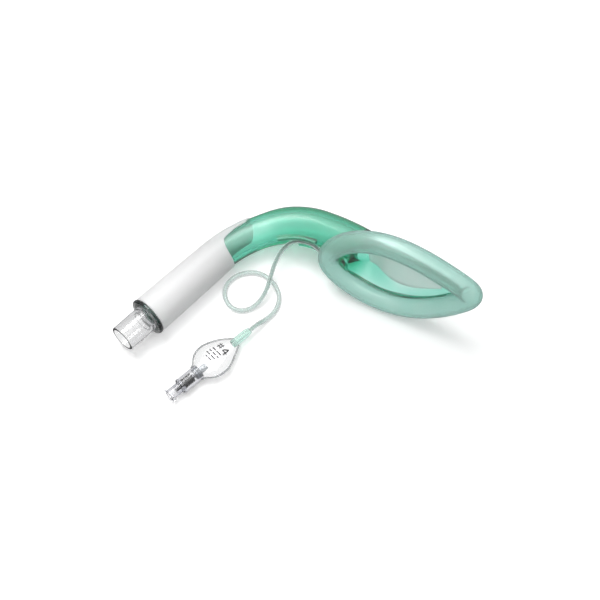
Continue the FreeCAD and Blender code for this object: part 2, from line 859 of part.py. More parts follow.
# Pilot balloon: two films welded round the edge, a collar on the barrel and a neck.
barrel = size.housing_front + size.housing_length
balloon_from = barrel - size.collar_length
balloon_end = balloon_from + size.balloon_length
collar = size.housing_radius + size.fit_gap + size.collar_wall
neck_wall = size.neck_radius + size.fit_gap + size.balloon_wall
PILLOW = [
    (0.000, None, None),
    (0.075, 0.53, 1.07),
    (0.180, 0.80, 1.04),
    (0.310, 0.96, 1.02),
    (0.450, 1.00, 1.00),
    (0.580, 0.95, 0.99),
    (0.720, 0.76, 0.92),
    (0.850, 0.53, 0.84),
    (0.950, 0.345, 0.73),
    (1.000, None, None),
]


def pillow(inset, margin):
    """Half sizes of the balloon's section: (place along the axis, half width, half height)."""
    found = []
    for share, wide, thick in PILLOW:
        along = balloon_from + share * size.balloon_length
        if wide is None:
            flat = collar if share == 0 else neck_wall
            found.append((along, flat - inset + margin, flat - inset))
        else:
            found.append((along, size.balloon_half_width * wide - inset + margin,
                          size.balloon_half_thick * thick - inset))
    return found


def valve_section(along, half_width, half_height):
    return smooth_ring([Vector(along, half_width * math.cos(t), half_height * math.sin(t))
                        for t in AROUND])


shell = Part.makeLoft([valve_section(*entry) for entry in pillow(0, 0)], True, False, False, 3)
room = pillow(size.balloon_wall, 0)[1:-1]
room = [(barrel - size.collar_sink, size.housing_bore, size.housing_bore)] + room
pocket = Part.makeLoft([valve_section(*entry) for entry in room], True, False, False, 3)
rim = pillow(0, size.seam_width)
side = [Vector(along, wide, 0) for along, wide, high in rim]
upper = Part.BSplineCurve()
upper.interpolate(side)
lower = Part.BSplineCurve()
lower.interpolate([Vector(point.x, -point.y, 0) for point in side])
seam_wire = Part.Wire([
    upper.toShape(),
    Part.LineSegment(side[-1], Vector(side[-1].x, -side[-1].y, 0)).toShape(),
    lower.toShape(),
    Part.LineSegment(Vector(side[0].x, -side[0].y, 0), side[0]).toShape(),
])
seam = Part.Face(seam_wire).extrude(Vector(0, 0, size.seam_thick))
seam.translate(Vector(0, 0, -size.seam_thick / 2))
ahead = Vector(1, 0, 0)
socket = Part.makeCylinder(size.housing_radius + size.fit_gap,
                           2 * size.collar_length + size.running_gap,
                           Vector(balloon_from - size.collar_length, 0, 0), ahead)
exit_bore = Part.makeCylinder(size.neck_radius + size.fit_gap, 2 * size.neck_insert,
                              Vector(balloon_end - 1.5 * size.neck_insert, 0, 0), ahead)
films = doc.addObject("Part::MultiFuse", "balloon_films")
films.Shapes = [feature("balloon_shell", shell), feature("balloon_seam", seam)]
voids = doc.addObject("Part::MultiFuse", "balloon_voids")
voids.Shapes = [feature("balloon_pocket", pocket), feature("balloon_socket", socket),
                feature("balloon_exit", exit_bore)]
balloon = doc.addObject("Part::Cut", "pilot_balloon")
balloon.Label = "pilot_balloon"
balloon.Base = films
balloon.Tool = voids
balloon.Placement = valve_place

# Neck: a tinted sleeve between the balloon and the line.
neck_from = balloon_end - size.neck_insert
neck_to = neck_from + size.neck_length
line_sleeve = body("line_sleeve")
neck_start = "housing_front + housing_length - collar_length + balloon_length - neck_insert"
revolve(line_sleeve, "neck_blank", [
    (neck_start, "port_bore"),
    (neck_start, "neck_radius"),
    (neck_start + " + neck_length - neck_taper", "neck_radius"),
    (neck_start + " + neck_length", "neck_radius - neck_step"),
    (neck_start + " + neck_length", "port_bore"),
])
line_sleeve.Placement = valve_place

# Inflation line: it leaves the cuff's port, follows the rails round the inside of the bend,
# drops to the table, makes one loop under itself and ends at the balloon's neck.
# Its points are in the channel, as lengths along the tube, and on or over the table.
ROUTE_CHANNEL = [112.0, 103.0]


def beside(along):
    """A point of the line's route on the inside of the bend, for a route of short runs."""
    point, heading = station(along)
    return point - Vector(-math.sin(heading), math.cos(heading), 0) * line_offset


ROUTE_TABLE = [
    (74.3, 43.2, 13.2),
    (71.2, 39.6, 10.9),
    (68.9, 35.0, 9.0),
    (67.3, 30.4, 7.5),
    (66.0, 24.3, 7.1),
    (63.9, 18.6, 5.4),
    (60.8, 13.6, 3.4),
    (56.3, 9.9, 1.9),
    (50.6, 8.2, 1.35),
    (45.0, 9.9, 1.35),
    (41.3, 14.8, 1.35),
    (40.2, 20.9, 1.35),
    (42.0, 26.9, 1.35),
    (46.7, 31.3, 1.35),
    (52.9, 33.5, 1.35),
    (59.2, 33.3, 1.35),
    (64.8, 30.3, 1.35),
    (69.1, 25.3, 1.35),
    (71.5, 19.1, 1.35),
    (71.2, 12.5, 1.35),
    (68.2, 6.6, 1.45),
    (63.3, 1.9, 2.1),
]
device_points = [port_face, port_face + port_way * size.port_run]
device_points += [beside(t) for t in ROUTE_CHANNEL]
route = [device_place.multVec(point) for point in device_points]
route += [shift + Vector(*entry) for entry in ROUTE_TABLE]
route += [valve_place.multVec(Vector(neck_to + size.neck_run, 0, 0)),
          valve_place.multVec(Vector(neck_to, 0, 0))]
line_shape, line_length, line_radii = cord(route, size.line_radius)
line = feature("inflation_line", line_shape)
expected = math.pi * size.line_radius ** 2 * line_length
print("line length %.1f, volume %.1f of %.1f" % (line_length, line_shape.Volume, expected))
print("line radii", line_radii)
doc.recompute()

NODES = [connector, grip_sleeve, airway_tube, cuff, line, line_sleeve, balloon, housing,
         luer_port, plunger, seal, seat, spring]
for item in doc.Objects:
    if "Invalid" in item.State or "Error" in item.State:
        raise RuntimeError("%s did not build: %s" % (item.Label, item.State))
os.makedirs("parts", exist_ok=True)
for item in NODES:
    shape = item.Shape
    if shape.isNull() or not shape.isValid() or len(shape.Solids) != 1:
        raise RuntimeError("%s has no single valid solid" % item.Label)
    shape.exportStep("parts/%s.step" % item.Label)
    box = shape.BoundBox
    print("%-18s %9.1f  %7.1f %7.1f  %7.1f %7.1f  %6.2f %6.2f" % (
        item.Label, shape.Volume, box.XMin, box.XMax, box.YMin, box.YMax, box.ZMin, box.ZMax))
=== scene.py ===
import math
from math import radians

import bpy
from mathutils import Matrix, Quaternion, Vector


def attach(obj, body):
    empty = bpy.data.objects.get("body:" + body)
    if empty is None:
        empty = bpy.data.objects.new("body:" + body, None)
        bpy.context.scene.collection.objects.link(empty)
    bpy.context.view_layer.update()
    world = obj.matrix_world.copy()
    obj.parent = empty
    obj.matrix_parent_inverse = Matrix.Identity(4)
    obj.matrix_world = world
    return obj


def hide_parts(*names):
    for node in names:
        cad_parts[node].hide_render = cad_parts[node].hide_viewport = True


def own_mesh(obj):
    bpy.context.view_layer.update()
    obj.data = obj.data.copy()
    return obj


# The looks of a laryngeal mask airway lying on a white table.
# Lengths are in metres and angles in degrees, unless a name or a comment says otherwise.

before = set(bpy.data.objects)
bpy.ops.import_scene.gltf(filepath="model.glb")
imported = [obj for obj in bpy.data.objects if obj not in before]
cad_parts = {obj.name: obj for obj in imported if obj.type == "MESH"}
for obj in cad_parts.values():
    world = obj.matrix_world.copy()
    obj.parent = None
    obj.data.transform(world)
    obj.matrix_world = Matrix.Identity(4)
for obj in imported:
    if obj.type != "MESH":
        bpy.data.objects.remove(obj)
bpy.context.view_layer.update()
MM = 0.001

# Where the device and the valve lie, as in the part's source.
ORIGIN = Vector((80.54, 23.76, 0)) * MM
REST_HEIGHT = 11.478 * MM
REST_SLOPE_X = 0.172
REST_SLOPE_Y = -0.1849
REST_YAW = 46.85
VALVE_PLACE = Vector((12.49, -45.87, 4.64)) * MM - ORIGIN
VALVE_YAW = 43.15

# The tube's centreline: a straight run and three bends, as (radius, angle).
TUBE_STRAIGHT = 51.1 * MM
BENDS = [(64.0 * MM, 34.4), (38.8 * MM, 42.5), (138.0 * MM, 11.6)]

# The mask's plane at the end of the tube, and the cuff's ring in it. The cuff's radii are at
# its heel, its sides and its tip.
MASK_TURN = 20.0
MASK_BACK = 14.2 * MM
MASK_DROP = 13.6 * MM
RING_LENGTH = 84.2 * MM
RING_HALF_WIDTH = 20.6 * MM
RING_EGG = 0.268
RING_SQUARE = 0.184
RING_TIP_DROP = 3.56 * MM
RING_SAG = 8.36 * MM
RING_STATIONS = 144
ANGLE_STEP = 1e-3
CUFF_RADII = (5.85 * MM, 6.35 * MM, 6.25 * MM)
CUFF_WALL = 0.9 * MM
CUFF_AROUND = 40

# The floor of the bowl, as in the part's source: its place as a share of the ring's length,
# its depth in millimetres, and its half width as a share of the ring's.
BOWL_FLOOR = [
    (0.238, 10.5, 0.340),
    (0.297, 9.4, 0.408),
    (0.356, 6.6, 0.495),
    (0.428, 4.6, 0.612),
    (0.523, 2.8, 0.602),
    (0.618, 1.2, 0.476),
    (0.713, -0.4, 0.282),
    (0.796, -1.7, 0.117),
]
BOWL_SLOPE = 0.4 * MM

# The pale sheet of painted light in the bowl stands off it by a gap. Its columns run from -1
# to
# 1 across the floor, and from 1 to 3 up the wall on one side.
SKIN_GAP = 0.3 * MM
SKIN_THICKNESS = 0.2 * MM
SKIN_COLUMNS = [-1, -0.75, -0.5, -0.25, 0, 0.25, 0.5, 0.75, 1, 1.4, 1.8, 2.2, 2.6, 3]
WALL_COLUMNS = 2
ROW_STEPS = 4

# The weld between bowl and cuff: where it lies round the cuff's section, and how far its
# middle stands off the cuff, as a share of its radius.
LIP_TURN = 20.0
LIP_RADIUS = 0.45 * MM
LIP_STAND = 0.3
LIP_AROUND = 8

# The pilot balloon and the neck behind it, along the valve's own axis.
BALLOON_FROM = 19.6 * MM
BALLOON_LENGTH = 28.6 * MM
BALLOON_HALF_WIDTH = 10.0 * MM
BALLOON_HALF_THICK = 4.0 * MM
BALLOON_WALL = 0.45 * MM
BALLOON_AROUND = 48
NECK_END = 58.6 * MM

# The balloon's outline as shares: place along its length, half widths on its two sides, and
# half height.
BALLOON_OUTLINE = [
    (0.000, 0.46, 0.46, 1.12),
    (0.040, 0.49, 0.48, 1.10),
    (0.090, 0.60, 0.56, 1.08),
    (0.150, 0.78, 0.72, 1.07),
    (0.220, 0.92, 0.85, 1.05),
    (0.310, 1.02, 0.93, 1.03),
    (0.410, 1.06, 0.96, 1.00),
    (0.510, 1.03, 0.95, 0.98),
    (0.610, 0.94, 0.86, 0.95),
    (0.710, 0.82, 0.72, 0.91),
    (0.800, 0.69, 0.58, 0.86),
    (0.880, 0.53, 0.46, 0.80),
    (0.950, 0.37, 0.34, 0.70),
    (1.000, 0.28, 0.28, 0.66),
]
FILM_FLATNESS = 2.4
FILM_PINCH = 0.62

# The weld round the balloon reaches from just inside its outline to SEAM_WIDTH outside it,
# and thins towards its edge.
SEAM_WIDTH = 0.6 * MM
SEAM_INSIDE = 0.35 * MM
SEAM_HALF_HEIGHT = 0.25 * MM
SEAM_EDGE_SHARE = 0.7

# The print on the balloon's upper film, in millimetres along the valve's axis and beside it:
# the size numeral, its number sign, and short bars as (along, side, length, thickness).
# The strokes are shares of the numeral's height.
PRINT_HEIGHT = 4.2
PRINT_LIFT = 0.06 * MM
NUMERAL_PLACE = (38.9, -2.1)
NUMERAL_THICKNESS = 0.2
NUMERAL_STROKES = [
    ((0.5, -0.15), (-0.5, -0.15)),
    ((0.5, -0.15), (-0.12, 0.42)),
    ((-0.15, 0.42), (-0.15, -0.38)),
]
HASH_PLACE = (39.4, 2.2)
HASH_THICKNESS = 0.13
HASH_STROKES = [
    ((0.42, -0.23), (-0.42, -0.11)),
    ((-0.17, 0.4), (-0.17, -0.4)),
    ((0.42, 0.11), (-0.42, 0.23)),
    ((0.17, 0.4), (0.17, -0.4)),
]
PRINT_BARS = [
    (35.6, 3.2, 2.6, 0.8),
    (35.6, -0.4, 3.4, 0.8),
    (33.6, 3.9, 1.8, 0.7),
    (33.6, 1.0, 2.8, 0.7),
    (33.6, -1.8, 1.6, 0.7),
    (31.6, 3.6, 3.0, 0.7),
    (31.6, -0.2, 3.2, 0.7),
    (29.6, 2.8, 1.6, 0.7),
    (29.6, 0.2, 2.4, 0.7),
]
STROKE_STEPS = 6

# The inflation line, and its route's points in millimetres from the cuff's heel to a straight
# lead into the balloon's neck.
LINE_RADIUS = 1.3 * MM
LINE_BORE_RADIUS = 0.7 * MM
LINE_LEAD = 6.0 * MM
LINE_ROUTE = [
    (14.07, 11.82, 21.17),
    (10.59, 16.96, 19.62),
    (4.6, 20.02, 18.03),
    (-1.31, 21.41, 16.75),
    (-6.24, 19.44, 13.2),
    (-9.34, 15.84, 10.9),
    (-11.64, 11.24, 9.0),
    (-13.24, 6.64, 7.5),
    (-14.54, 0.54, 7.1),
    (-16.64, -5.16, 5.4),
    (-19.74, -10.16, 3.4),
    (-24.24, -13.86, 1.9),
    (-29.94, -15.56, 1.35),
    (-35.54, -13.86, 1.35),
    (-39.24, -8.96, 1.35),
    (-40.34, -2.86, 1.35),
    (-38.54, 3.14, 1.35),
    (-33.84, 7.54, 1.35),
    (-27.64, 9.74, 1.35),
    (-21.34, 9.54, 1.35),
    (-15.74, 6.54, 1.35),
    (-11.44, 1.54, 1.35),
    (-9.04, -4.66, 1.35),
    (-9.34, -11.26, 1.35),
    (-12.34, -17.16, 1.45),
    (-17.24, -21.86, 2.1),
]

# The camera, found from the photograph. Its lens and sensor are in millimetres.
CAMERA_PLACE = Vector((83.196, -361.807, 685.0)) * MM - ORIGIN
CAMERA_PITCH = 61.106
CAMERA_ROLL = 0.211
CAMERA_LENS = 82.86
CAMERA_SENSOR = 36.0

# The sky's strength, and the lamps as (name, place, power in watts, width).
SOFT_LIGHT = 0.36
LAMPS = [
    ("key", (-0.24, 0.30, 0.92), 7.2, 0.6),
    ("front", (0.10, -0.28, 1.0), 3.6, 0.8),
]

# The floor's grey, how far it is lifted to white for the camera, and how bright it is near
# the object and far from it, in reflections (gloss) and through clear plastic (through).
FLOOR_SIZE = 6.0
FLOOR_GREY = 0.9
FLOOR_LIFT = 0.22
FLOOR_NEAR = 0.25
FLOOR_FAR = 1.0
FLOOR_GLOSS = (0.3, 0.15)
FLOOR_THROUGH = (1.0, 0.35)

# The sky's brightness at the horizon and from a height on, for the same two kinds of ray.
SKY_HEIGHT = 0.6
SKY_GLOSS = (0.08, 1.0)
SKY_THROUGH = (0.7, 1.0)

# The texture that all the plastics share: fine grain, and soft clouds of a second colour.
GRAIN_DETAIL = 2.0
GRAIN_DEPTH = 0.0002
CLOUD_SCALE = 90
CLOUD_DETAIL = 3.0
CLOUD_FROM = 0.35
CLOUD_TO = 0.7


def device_matrix():
    """The device's own frame, leaning on its side on the table."""
    up = Vector((0, 0, 1))
    lean = Vector((-REST_SLOPE_X, -REST_SLOPE_Y, 1)).normalized()
    turn = up.rotation_difference(lean) @ Quaternion(up, radians(REST_YAW))
    place = Vector((0, 0, REST_HEIGHT)) - ORIGIN
    return Matrix.Translation(place) @ turn.to_matrix().to_4x4()


DEVICE = device_matrix()
VALVE = Matrix.Translation(VALVE_PLACE) @ Matrix.Rotation(radians(VALVE_YAW), 4, "Z")


def tube_end_station():
    """Point and heading at the end of the tube's centreline, in the device's frame."""
    point = Vector((TUBE_STRAIGHT, 0, 0))
    heading = 0.0
    for radius, turn in BENDS:
        centre = point + Vector((math.sin(heading), -math.cos(heading), 0)) * radius
        heading -= radians(turn)
        point = centre + Vector((-math.sin(heading), math.cos(heading), 0)) * radius
    return point, heading


tube_end, end_heading = tube_end_station()
mask_heading = end_heading + radians(MASK_TURN)
TO_TIP = Vector((math.cos(mask_heading), math.sin(mask_heading), 0))
TO_BACK = Vector((-math.sin(mask_heading), math.cos(mask_heading), 0))
ACROSS = Vector((0, 0, 1))
MASK_HEEL = tube_end - TO_TIP * MASK_BACK - TO_BACK * MASK_DROP


def ring_point(angle):
    """The middle of the cuff's section at an angle round the ring, in the device's frame."""
    q = (1 - math.cos(angle)) / 2
    shape = 1 + RING_EGG * math.cos(angle) - RING_SQUARE * math.cos(2 * angle)
    half = RING_HALF_WIDTH * math.sin(angle) * shape
    lift = -RING_TIP_DROP * q * q + RING_SAG * q * q * (q - 1)
    return MASK_HEEL + TO_TIP * (RING_LENGTH * q) + ACROSS * half + TO_BACK * lift


def cuff_radius(angle):
    """The cuff's radius at an angle, on one parabola through its heel, sides and tip."""
    q = (1 - math.cos(angle)) / 2
    heel, side, tip = CUFF_RADII
    return heel * (1 - q) * (1 - 2 * q) + 4 * side * q * (1 - q) + tip * q * (2 * q - 1)


def ring_section(angle):
    """The cuff's section at an angle: its middle, the way in and the way to the back."""
    ahead = (ring_point(angle + ANGLE_STEP) - ring_point(angle - ANGLE_STEP)).normalized()
    inward = TO_BACK.cross(ahead).normalized()
    return ring_point(angle), inward, ahead.cross(inward)


def circle(centre, first, second, radius, count):
    """Points of a circle that lies along two directions of the device's frame."""
    points = []
    for j in range(count):
        turn = 2 * math.pi * j / count
        rim = (first * math.cos(turn) + second * math.sin(turn)) * radius
        points.append(DEVICE @ (centre + rim))
    return points


def link_object(name, data):
    made = bpy.data.objects.new(name, data)
    bpy.context.scene.collection.objects.link(made)
    return made


def mesh_piece(name, verts, faces, material, smooth=True):
    mesh = bpy.data.meshes.new(name)
    mesh.from_pydata([tuple(v) for v in verts], [], faces)
    mesh.validate()
    for face in mesh.polygons:
        face.use_smooth = smooth
    mesh.materials.append(material)
    return link_object(name, mesh)


def skin_faces(verts, faces, outward=True):
    """The faces turned so that all of a closed skin looks outward, or inward."""
    volume = 0.0
    for face in faces:
        a = Vector(verts[face[0]])
        for i in range(1, len(face) - 1):
            volume += a.dot(Vector(verts[face[i]]).cross(Vector(verts[face[i + 1]])))
    if (volume > 0) == outward:
        return faces
    return [tuple(reversed(face)) for face in faces]


def grid_faces(rows, columns, start=0, close_rows=True, flip=False):
    """Quads of a grid of vertices whose columns, and rows if asked, close on themselves."""
    faces = []
    last = rows if close_rows else rows - 1
    for i in range(last):
        for j in range(columns):
            a = start + i * columns + j
            b = start + i * columns + (j + 1) % columns
            c = start + ((i + 1) % rows) * columns + (j + 1) % columns
            d = start + ((i + 1) % rows) * columns + j
            faces.append((d, c, b, a) if flip else (a, b, c, d))
    return faces


def smooth_rows(rows, steps):
    """Rows of numbers with more rows between them, along Catmull-Rom curves."""
    found = []
    last = len(rows) - 1
    for i in range(last):
        four = rows[max(i - 1, 0)], rows[i], rows[i + 1], rows[min(i + 2, last)]
        for k in range(steps):
            t = k / steps
            row = []
            for p0, p1, p2, p3 in zip(*four):
                bend = 2 * p0 - 5 * p1 + 4 * p2 - p3
                sway = 3 * p1 - p0 - 3 * p2 + p3
                row.append(0.5 * (2 * p1 + (p2 - p0) * t + bend * t * t + sway * t ** 3))
            found.append(tuple(row))
    found.append(tuple(rows[-1]))
    return found


class Nodes:
    """Short forms for building a tree of shader nodes."""

    def __init__(self, tree, output="ShaderNodeOutputMaterial"):
        self.tree = tree
        self.tree.nodes.clear()
        self.output = self.add(output)

    def add(self, kind, **values):
        node = self.tree.nodes.new(kind)
        for key, value in values.items():
            node.inputs[key.replace("_", " ")].default_value = value
        return node

    def link(self, source, target):
        self.tree.links.new(source, target)

    def noise(self, **values):
        """Noise in object space."""
        place = self.add("ShaderNodeTexCoord")
        noise = self.add("ShaderNodeTexNoise", **values)
        self.link(place.outputs["Object"], noise.inputs["Vector"])
        return noise.outputs["Fac"]

    def mix(self, share, first, second):
        """One shader where a value is 0, and the second where it is 1."""
        mix = self.add("ShaderNodeMixShader")
        self.link(share, mix.inputs["Fac"])
        self.link(first, mix.inputs[1])
        self.link(second, mix.inputs[2])
        return mix.outputs["Shader"]


def new_material(name):
    material = bpy.data.materials.new(name)
    material.use_nodes = True
    return material, Nodes(material.node_tree)


def plastic(name, colour, roughness, see=0.0, tint=None, density=0, grain=0.05, scale=700,
            spread=None, **more):
    """A moulded plastic: see is how far it is seen through, and tint and density are what its
    depth takes from the light. spread is a second colour, in soft clouds, and grain is how
    strong a fine bump of the given scale is."""
    material, build = new_material(name)
    shader = build.add("ShaderNodeBsdfPrincipled", Base_Color=(*colour, 1),
                       Roughness=roughness, Transmission_Weight=see, **more)
    if spread is not None:
        ramp = build.add("ShaderNodeValToRGB")
        low, high = ramp.color_ramp.elements
        low.position, low.color = CLOUD_FROM, (*colour, 1)
        high.position, high.color = CLOUD_TO, (*spread, 1)
        build.link(build.noise(Scale=CLOUD_SCALE, Detail=CLOUD_DETAIL), ramp.inputs["Fac"])
        build.link(ramp.outputs["Color"], shader.inputs["Base Color"])
    bump = build.add("ShaderNodeBump", Strength=grain, Distance=GRAIN_DEPTH)
    build.link(build.noise(Scale=scale, Detail=GRAIN_DETAIL), bump.inputs["Height"])
    build.link(bump.outputs["Normal"], shader.inputs["Normal"])
    build.link(shader.outputs["BSDF"], build.output.inputs["Surface"])
    if tint is not None:
        absorb = build.add("ShaderNodeVolumeAbsorption", Color=(*tint, 1), Density=density)
        build.link(absorb.outputs["Volume"], build.output.inputs["Volume"])
    return material


tube_green = plastic(
    "tube_green", (0.92, 1.0, 0.97), 0.12, see=0.94, tint=(0.13, 0.80, 0.67), density=300,
    spread=(0.86, 1.0, 0.95), IOR=1.28, Coat_Weight=1.0, Coat_IOR=1.6, Coat_Roughness=0.4,
)
cuff_film = plastic(
    "cuff_film", (0.80, 0.94, 0.90), 0.24, see=0.82, tint=(0.18, 0.80, 0.70), density=300,
    spread=(0.87, 0.96, 0.93), IOR=1.25, Coat_Weight=1.0, Coat_IOR=1.6, Coat_Roughness=0.36,
)
sleeve_white = plastic(
    "sleeve_white", (0.95, 0.95, 0.96), 0.38, grain=0.08, scale=900, spread=(0.92, 0.92, 0.93),
    Subsurface_Weight=0.8, Subsurface_Radius=(0.010, 0.010, 0.010), Subsurface_Scale=0.6,
)
clear_hard = plastic(
    "clear_hard", (1, 1, 1), 0.04, see=1.0, tint=(0.45, 0.46, 0.52), density=260, IOR=1.5,
    grain=0.003,
)
smoky = plastic(
    "smoky", (0.98, 0.98, 0.98), 0.09, see=1.0, tint=(0.38, 0.39, 0.41), density=130, IOR=1.5,
    grain=0.003,
)
line_clear = plastic(
    "line_clear", (0.97, 1.0, 0.99), 0.22, see=0.94, tint=(0.42, 0.60, 0.55), density=210,
    IOR=1.4, grain=0.002,
)
# Painted light: a pale matt sheet in the bowl stands in for the light on the bowl's green
# floor.
bowl_painted_light = plastic(
    "bowl_painted_light", (0.93, 1.0, 0.98), 0.42, grain=0.08, scale=500, spread=(0.98, 1.0, 0.99),
    Alpha=0.5,
)
lip_green = plastic(
    "lip_green", (0.03, 0.60, 0.40), 0.3, spread=(0.04, 0.66, 0.45), Alpha=0.75,
)
neck_tint = plastic(
    "neck_tint", (0.86, 0.97, 0.93), 0.2, see=0.85, tint=(0.35, 0.80, 0.68), density=120,
    IOR=1.4, grain=0.003,
)
balloon_film = plastic(
    "balloon_film", (1, 1, 1), 0.07, see=1.0, tint=(0.70, 0.74, 0.76), density=160, IOR=1.4,
    grain=0.10, scale=300,
)
seam_film = plastic(
    "seam_film", (0.88, 0.9, 0.9), 0.2, see=1.0, tint=(0.40, 0.44, 0.45), density=220,
    IOR=1.4,
)
plunger_black = plastic("plunger_black", (0.012, 0.012, 0.014), 0.35, grain=0.1)
seal_rubber = plastic("seal_rubber", (0.02, 0.02, 0.022), 0.6, grain=0.1)
seat_blue = plastic("seat_blue", (0.42, 0.45, 0.48), 0.4, grain=0.1)
spring_steel = plastic("spring_steel", (0.62, 0.63, 0.65), 0.25, Metallic=1.0)
print_ink = plastic("print_ink", (0.05, 0.05, 0.055), 0.5)

NODE_MATERIALS = {
    "connector": smoky,
    "grip_sleeve": sleeve_white,
    "airway_tube": tube_green,
    "cuff": cuff_film,
    "inflation_line": line_clear,
    "line_sleeve": neck_tint,
    "pilot_balloon": balloon_film,
    "valve_housing": clear_hard,
    "luer_port": clear_hard,
    "valve_plunger": plunger_black,
    "valve_seal": seal_rubber,
    "valve_spring_seat": seat_blue,
    "valve_spring": spring_steel,
}
for node, material in NODE_MATERIALS.items():
    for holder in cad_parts[node].material_slots:
        holder.material = material


def make_camera():
    data = bpy.data.cameras.new("camera")
    data.lens = CAMERA_LENS
    data.sensor_width = CAMERA_SENSOR
    camera = link_object("camera", data)
    tilt = Matrix.Rotation(radians(90 - CAMERA_PITCH), 4, "X")
    roll = Matrix.Rotation(radians(CAMERA_ROLL), 4, "Z")
    camera.matrix_world = Matrix.Translation(CAMERA_PLACE) @ tilt @ roll
    bpy.context.scene.camera = camera


def white_glow(build, kind, outlet, value, span, strengths):
    """A white glow whose strength goes between two values as another value crosses a span."""
    reach = build.add("ShaderNodeMapRange", From_Min=span[0], From_Max=span[1],
                      To_Min=strengths[0], To_Max=strengths[1])
    build.link(value, reach.inputs["Value"])
    glow = build.add(kind)
    build.link(reach.outputs["Result"], glow.inputs["Strength"])
    return glow.outputs[outlet]


def shown_to(build, path, plain, glossy, through):
    """The plain shader, with others for reflected rays and for rays through clear plastic."""
    found = build.mix(path.outputs["Is Glossy Ray"], plain, glossy)
    return build.mix(path.outputs["Is Transmission Ray"], found, through)


def make_floor():
    """A white table that keeps shadows, and shows white through plastic and in gloss."""
    bpy.ops.mesh.primitive_plane_add(size=FLOOR_SIZE, location=(0, 0, 0))
    floor = bpy.context.object
    floor.name = "floor"
    material, build = new_material("floor_white")
    path = build.add("ShaderNodeLightPath")
    matte = build.add("ShaderNodeBsdfDiffuse", Color=(FLOOR_GREY, FLOOR_GREY, FLOOR_GREY, 1))
    lift = build.add("ShaderNodeEmission", Color=(1, 1, 1, 1), Strength=FLOOR_LIFT)
    bright = build.add("ShaderNodeAddShader")
    build.link(matte.outputs["BSDF"], bright.inputs[0])
    build.link(lift.outputs["Emission"], bright.inputs[1])
    plain = build.mix(path.outputs["Is Camera Ray"], matte.outputs["BSDF"],
                      bright.outputs["Shader"])
    place = build.add("ShaderNodeTexCoord")
    away = build.add("ShaderNodeVectorMath")
    away.operation = "LENGTH"
    build.link(place.outputs["Object"], away.inputs[0])
    glossy, through = [
        white_glow(build, "ShaderNodeEmission", "Emission", away.outputs["Value"],
                   (FLOOR_NEAR, FLOOR_FAR), strengths)
        for strengths in (FLOOR_GLOSS, FLOOR_THROUGH)]
    build.link(shown_to(build, path, plain, glossy, through), build.output.inputs["Surface"])
    floor.data.materials.append(material)


def make_world():
    """Even soft light, white behind the table, and darker near the horizon in reflections."""
    world = bpy.data.worlds.new("studio")
    bpy.context.scene.world = world
    world.use_nodes = True
    build = Nodes(world.node_tree, "ShaderNodeOutputWorld")
    path = build.add("ShaderNodeLightPath")
    soft = build.add("ShaderNodeBackground", Color=(1, 1, 1, 1), Strength=SOFT_LIGHT)
    white = build.add("ShaderNodeBackground", Color=(1, 1, 1, 1), Strength=1.0)
    place = build.add("ShaderNodeTexCoord")
    split = build.add("ShaderNodeSeparateXYZ")
    build.link(place.outputs["Generated"], split.inputs["Vector"])
    glossy, through = [
        white_glow(build, "ShaderNodeBackground", "Background", split.outputs["Z"],
                   (0.0, SKY_HEIGHT), strengths)
        for strengths in (SKY_GLOSS, SKY_THROUGH)]
    shown = shown_to(build, path, soft.outputs["Background"], glossy, through)
    sky = build.mix(path.outputs["Is Camera Ray"], shown, white.outputs["Background"])
    build.link(sky, build.output.inputs["Surface"])


def make_lights():
    for name, place, energy, wide in LAMPS:
        data = bpy.data.lights.new(name, "AREA")
        data.energy = energy
        data.size = wide
        lamp = link_object(name, data)
        lamp.location = place
        lamp.rotation_euler = (-Vector(place)).to_track_quat("-Z", "Y").to_euler()


def make_cuff():
    """The cuff as a smooth closed skin with an inner skin, each a grid round the ring."""
    verts = []
    faces = []
    for inset in (0.0, CUFF_WALL):
        start = len(verts)
        for i in range(RING_STATIONS):
            angle = 2 * math.pi * i / RING_STATIONS
            place, inward, rise = ring_section(angle)
            verts += circle(place, inward, rise, cuff_radius(angle) - inset, CUFF_AROUND)
        grid = grid_faces(RING_STATIONS, CUFF_AROUND, start)
        faces += skin_faces(verts, grid, outward=(inset == 0))
    cuff = mesh_piece("cuff_skin", verts, faces, cuff_film)
    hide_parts("cuff")
    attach(cuff, "airway")


def make_bowl_skin():
    """Painted light: a pale matt sheet on the floor and one wall of the bowl, past the
    airway's mouth.
    """
    verts = []
    rows = smooth_rows(BOWL_FLOOR, ROW_STEPS)
    for share, depth, floor in rows:
        angle = math.acos(1 - 2 * share)
        middle = ring_point(angle) - MASK_HEEL
        base = middle.dot(TO_BACK)
        half_floor = floor * RING_HALF_WIDTH
        wide = max(middle.z - cuff_radius(angle), half_floor + BOWL_SLOPE)
        for column in SKIN_COLUMNS:
            reach = abs(column)
            if reach <= 1:
                side, lift = reach * half_floor, depth * MM
            else:
                t = (reach - 1) / WALL_COLUMNS
                side = half_floor + (wide - half_floor) * t
                lift = depth * MM + (base - depth * MM) * t
            side = math.copysign(max(0.0, side - SKIN_GAP), column)
            point = MASK_HEEL + TO_TIP * (share * RING_LENGTH) + ACROSS * side
            verts.append(DEVICE @ (point + TO_BACK * (lift - SKIN_GAP)))
    faces = []
    count = len(SKIN_COLUMNS)
    for i in range(len(rows) - 1):
        for j in range(count - 1):
            n = i * count + j
            faces.append((n, n + 1, n + 1 + count, n + count))
    skin = mesh_piece("bowl_skin", verts, faces, bowl_painted_light)
    thick = skin.modifiers.new("thick", "SOLIDIFY")
    thick.thickness = SKIN_THICKNESS
    thick.offset = 0
    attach(skin, "airway")


